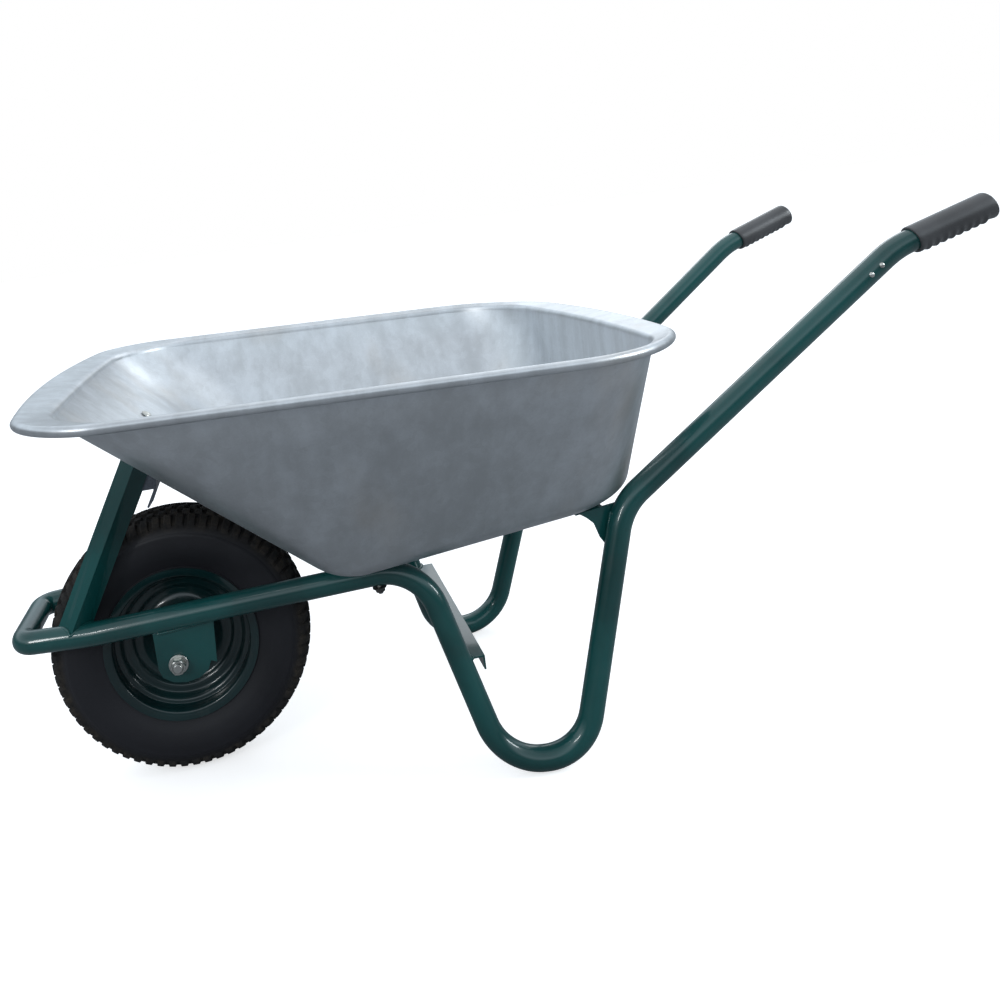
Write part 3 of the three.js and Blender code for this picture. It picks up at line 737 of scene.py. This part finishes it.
def nut_rings(base, direction, corner_radius, height, bore, washer=0):
    """A hexagon nut standing on its base, with its top corners turned off, on a washer face if it has one."""
    across, upward = direction_frame(direction)
    forward = direction.normalized()
    levels = [(bore, 0)]
    if washer:
        levels += [(washer - 0.4, 0), (washer, 0.4), (washer, 1.2), (washer - 0.4, 1.6)]
    start = levels[-1][1] if washer else 0
    flat = corner_radius * math.cos(math.pi / 6)
    shapes = [(radius, z) for radius, z in levels]
    shapes += [
        (hexagon_reach(corner_radius, corner_radius), start),
        (hexagon_reach(corner_radius, corner_radius), height - 2),
        (hexagon_reach(corner_radius, corner_radius - 0.35), height - 1),
        (hexagon_reach(corner_radius, flat - 0.3), height),
        (bore + 0.6, height),
        (bore, height - 0.8),
    ]
    return [circle(base + forward * z, across, upward, radius, 48) for radius, z in shapes]


def wall_point(down, off, y):
    """A point on the outside of the tray's sloping front wall, so far down it and so far off it."""
    bowed_front = TRAY_TOP[0] - TRAY_TOP[5]
    top = Vector((bowed_front, 0, rim_height(bowed_front) - WALL_TOP_DROP))
    along = (Vector((TRAY_FOOT[0], 0, floor_height(TRAY_FOOT[0]))) - top).normalized()
    point = top + along * down + Vector((along.z, 0, -along.x)) * off
    return Vector((point.x, y, point.z))


def tray_bolts():
    """Domed bolts through the tray, from inside, with flange nuts on the frame."""
    floor_out = Vector((FLOOR_SLOPE, 0, -1)).normalized()
    wall_out = (wall_point(0, 1, 0) - wall_point(0, 0, 0)).normalized()
    rail_y = side_y(RAIL_BOLT_X, RAIL_BOLT_Z)
    places = {
        "front": (wall_point(FRONT_BOLT_DOWN, 0, FRONT_BOLT_Y), wall_out, 3.8),
        "middle": (Vector((RAIL_BOLT_X, -rail_y, floor_height(RAIL_BOLT_X))), floor_out, 35.4),
        "rear": (Vector((REAR_BOLT_X, REAR_BOLT_Y, floor_height(REAR_BOLT_X))), floor_out, 4.6),
    }
    for name, (spot, out, grip) in places.items():
        for side in ("left", "right"):
            flip = 1 if side == "left" else -1
            at = Vector((spot.x, spot.y * flip, spot.z))
            length = SHEET + GAP + grip + 10
            dome = []
            for degrees in range(0, 91, 10):
                angle = math.radians(degrees)
                dome.append((BOLT_HEAD * math.sin(angle), BOLT_HEAD_HEIGHT * math.cos(angle)))
            shaft = threaded(BOLT_RADIUS, 1 - length, -0.6)
            outline = [(0, -length), (3.2, -length), *shaft]
            outline += [(BOLT_RADIUS, -0.1), (BOLT_HEAD, -0.1), *dome[::-1]]
            seat = at - out * (SHEET + GAP)
            piece_name = f"carriage_bolt_{name}_{side}"
            mesh = turned(piece_name, outline, seat, -out, 32)
            finished(piece_name, mesh, ZINC, "frame", [f"tray_bolt_{name}_{side}"])
            piece_name = f"flange_nut_{name}_{side}"
            rings = nut_rings(at + out * grip, out, 7.5, 7, BOLT_RADIUS + 0.1, 10)
            mesh = skinned(piece_name, rings, closed=True)
            finished(piece_name, mesh, SHADE_DARKENED_ZINC, "frame", [f"tray_nut_{name}_{side}"], 25)


def axle_nuts():
    for side, facing in (("left", -1), ("right", 1)):
        seat = BRACKET_Y + BRACKET_FACE + AXLE_WASHER_HEIGHT + GAP
        base = AXLE_CENTRE + AXLE_LINE * (facing * seat)
        name = "hex_nut_" + side
        rings = nut_rings(base, AXLE_LINE * facing, AXLE_NUT, 9.6, AXLE_RADIUS + 0.1)
        mesh = skinned(name, rings, closed=True)
        finished(name, mesh, ZINC, "frame", ["axle_nut_" + side], 25)


# ---- welds and rivets ----
def rail_height(x):
    """How high the side tube's centre line is along the rail."""
    return SIDE_PATH[1][1] + (x - SIDE_PATH[1][0]) * RAIL_SLOPE


def weld_bead(name, path, side):
    """A rippled bead of weld along a path, painted over."""
    rings = []
    for i, point in enumerate(path):
        along = (path[min(i + 1, len(path) - 1)] - path[max(i - 1, 0)]).normalized()
        across, upward = direction_frame(along)
        end = min(1, 0.35 + 0.5 * min(i, len(path) - 1 - i))
        rings.append(circle(point, across, upward, WELD_RADIUS * end * (1 + 0.14 * math.sin(2.4 * i)), 10))
    name = f"{name}_{side}"
    mesh = skinned(name, [mirrored(ring, side) for ring in rings])
    finished(name, mesh, GREEN, "frame", sharp=60)


def evenly(start, end, step=1.2):
    count = max(2, round(abs(end - start) / step))
    return [start + (end - start) * i / count for i in range(count + 1)]


def leg_x(first, second, z):
    """Where a straight length of the side tube, between two corners, is at a height."""
    (x0, z0, _), (x1, z1, _) = SIDE_PATH[first], SIDE_PATH[second]
    return x0 + (x1 - x0) * (z - z0) / (z1 - z0)


def welds(side):
    bracket = []
    for x in evenly(-24, 50):
        rail_z = rail_height(x)
        off = side_y(x, rail_z) - BRACKET_Y - 2
        bracket.append(Vector((x, -BRACKET_Y - 3, rail_z - math.sqrt(TUBE_RADIUS**2 - off**2) - 1)))
    weld_bead("bracket_weld", bracket, side)

    brace = []
    centre_x = leg_x(2, 3, BRACE_TOP)
    for degrees in evenly(-10, 70, 4):
        angle = math.radians(degrees)
        x = centre_x + (TUBE_RADIUS + 1) * math.cos(angle)
        y = -side_y(centre_x, BRACE_TOP) + (TUBE_RADIUS + 1) * math.sin(angle)
        brace.append(Vector((x, y, BRACE_TOP)))
    weld_bead("brace_weld", brace, side)

    gusset = []
    for z in evenly(284, 322):
        x = leg_x(4, 5, z)
        gusset.append(Vector((x - TUBE_RADIUS + 0.6, -side_y(x, z) + 1, z)))
    weld_bead("gusset_weld", gusset, side)

    foot = []
    for share in evenly(-1, 1, 0.08):
        y = STRUT_RIDGE - STRUT_REACH * abs(share)
        rail_z = rail_height(STRUT_X)
        off = y - side_y(STRUT_X, rail_z)
        z = rail_z + math.sqrt(TUBE_RADIUS**2 - off**2)
        rise = z - STRUT_Z
        x = STRUT_X + rise * math.tan(STRUT_LEAN) + STRUT_REACH * share / math.cos(STRUT_LEAN)
        foot.append(Vector((x, -y - 0.6, z + 0.8)))
    weld_bead("strut_weld", foot, side)


def handle_rivets(side):
    """Two domed rivets in the outer side of each handle."""
    for place_name, x in RIVET_PLACES:
        (x0, z0, _), (x1, z1, _) = SIDE_PATH[5], SIDE_PATH[6]
        z = z0 + (x - x0) * (z1 - z0) / (x1 - x0)
        seat = Vector((x, -side_y(x, z), z)) - SIDE_NORMAL * (TUBE_RADIUS - 0.4)
        dome = [(0, -1.5), (3.8, -1.5), (3.8, 0.2), (3.4, 1.1), (2.4, 1.9), (1.2, 2.3), (0, 2.4)]
        facing = -SIDE_NORMAL
        if side == "right":
            seat.y, facing.y = -seat.y, -facing.y
        name = f"rivet_{place_name}_{side}"
        finished(name, turned(name, dome, seat, facing, 24), ZINC, "frame")


# ---- pieces that keep their CAD shape ----
def softened(node, finish, width):
    """Breaks a CAD node's edges and gives it its finish."""
    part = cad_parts[node]
    part.data.materials.clear()
    part.data.materials.append(finish)
    weld = part.modifiers.new("weld", "WELD")
    weld.merge_threshold = 0.01 * MM
    bevel = part.modifiers.new("broken_edges", "BEVEL")
    bevel.width = width * MM
    bevel.segments = 2
    bevel.limit_method = "ANGLE"
    bevel.angle_limit = math.radians(35)


def plain_nodes():
    for side in ("left", "right"):
        softened("strut_" + side, GREEN, 0.9)
        softened("axle_bracket_" + side, GREEN, 0.7)
        softened("rear_bracket_" + side, GREEN, 0.7)
    softened("leg_brace", GREEN, 0.6)
    softened("strut_plate", SKY_TINTED_PLATE_STEEL, 0.6)
    softened("inner_tube", INNER_RUBBER, 0.5)
    softened("valve_stem", ZINC, 0.4)
    softened("valve_cap", CAP_RUBBER, 0.6)


# ---- camera, light and stage ----
def camera():
    """Stands to the left of the barrow, a little above the tray, with the picture's middle shifted."""
    lens = bpy.data.cameras.new("camera")
    lens.sensor_width = 36
    lens.lens = 29.355
    lens.shift_x = 0.1525
    lens.shift_y = -0.2489
    eye = bpy.data.objects.new("camera", lens)
    yaw, pitch, roll = 0.122, 0.031, 0.136
    turn = Matrix.Rotation(-yaw, 4, "Z") @ Matrix.Rotation(math.pi / 2 - pitch, 4, "X")
    turn = turn @ Matrix.Rotation(-roll, 4, "Z")
    eye.matrix_world = Matrix.Translation(place(171.2, -1234.6, 758.9)) @ turn
    bpy.context.scene.collection.objects.link(eye)
    bpy.context.scene.camera = eye


def softbox(name, spot, target, width, depth, power, colour=(1, 1, 1)):
    light = bpy.data.lights.new(name, "AREA")
    light.shape = "RECTANGLE"
    light.size = width
    light.size_y = depth
    light.energy = power
    light.color = colour
    lamp = bpy.data.objects.new(name, light)
    lamp.location = spot
    lamp.rotation_euler = (Vector(target) - Vector(spot)).to_track_quat("-Z", "Y").to_euler()
    bpy.context.scene.collection.objects.link(lamp)


# How high a direction points, and the light that comes from there.
SKY = (
    (0.0, (0.06, 0.063, 0.068)),
    (0.2, (0.22, 0.245, 0.27)),
    (0.42, (1.1, 1.24, 1.36)),
    (0.75, (0.62, 0.67, 0.73)),
)


def studio():
    floor_size = 60
    mesh = bpy.data.meshes.new("floor")
    corners = [(x * floor_size, y * floor_size, 0) for x, y in ((-1, -1), (1, -1), (1, 1), (-1, 1))]
    mesh.from_pydata(corners, [], [(0, 1, 2, 3)])
    mesh.materials.append(stage_floor())
    floor = bpy.data.objects.new("floor", mesh)
    bpy.context.scene.collection.objects.link(floor)

    world = bpy.data.worlds.new("studio")
    world.use_nodes = True
    bpy.context.scene.world = world
    nodes, links = world.node_tree.nodes, world.node_tree.links
    direction = nodes.new("ShaderNodeTexCoord")
    height = nodes.new("ShaderNodeSeparateXYZ")
    sky = nodes.new("ShaderNodeValToRGB")
    stops = sky.color_ramp.elements
    for at, colour in SKY[1:-1]:
        stops.new(at).color = (*colour, 1)
    for stop, (at, colour) in ((stops[0], SKY[0]), (stops[-1], SKY[-1])):
        stop.position = at
        stop.color = (*colour, 1)
    light = nodes["Background"]
    light.inputs["Strength"].default_value = 1.0
    backdrop = nodes.new("ShaderNodeBackground")
    backdrop.inputs["Color"].default_value = (1, 1, 1, 1)
    seen = nodes.new("ShaderNodeLightPath")
    chosen = nodes.new("ShaderNodeMixShader")
    links.new(direction.outputs["Generated"], height.inputs[0])
    links.new(height.outputs["Z"], sky.inputs["Fac"])
    links.new(sky.outputs["Color"], light.inputs["Color"])
    links.new(seen.outputs["Is Camera Ray"], chosen.inputs[0])
    links.new(light.outputs[0], chosen.inputs[1])
    links.new(backdrop.outputs[0], chosen.inputs[2])
    links.new(chosen.outputs[0], nodes["World Output"].inputs["Surface"])

    softbox("overhead", (0.2, 0.6, 3.0), (0, 0, 0.3), 3.0, 2.4, 10, (0.94, 0.98, 1))
    softbox("left_window", (-2.0, -1.9, 1.4), (-0.3, 0, 0.3), 0.22, 0.7, 10)
    softbox("right_window", (2.6, -1.0, 1.5), (0.3, -0.3, 0.4), 0.5, 1.2, 26, (0.9, 0.96, 1))
    softbox("back_window", (1.4, 2.8, 2.1), (0.3, 0, 0.5), 2.2, 1.2, 9)
    bpy.context.scene.view_settings.view_transform = "Standard"


camera()
studio()
pressed_tray()
for side in ("left", "right"):
    side_tube(side)
    ridged_grip(side)
    pressed_rim(side)
    welds(side)
    handle_rivets(side)
nose_bar()
moulded_tyre()
hub_pieces()
tray_bolts()
axle_nuts()
plain_nodes()
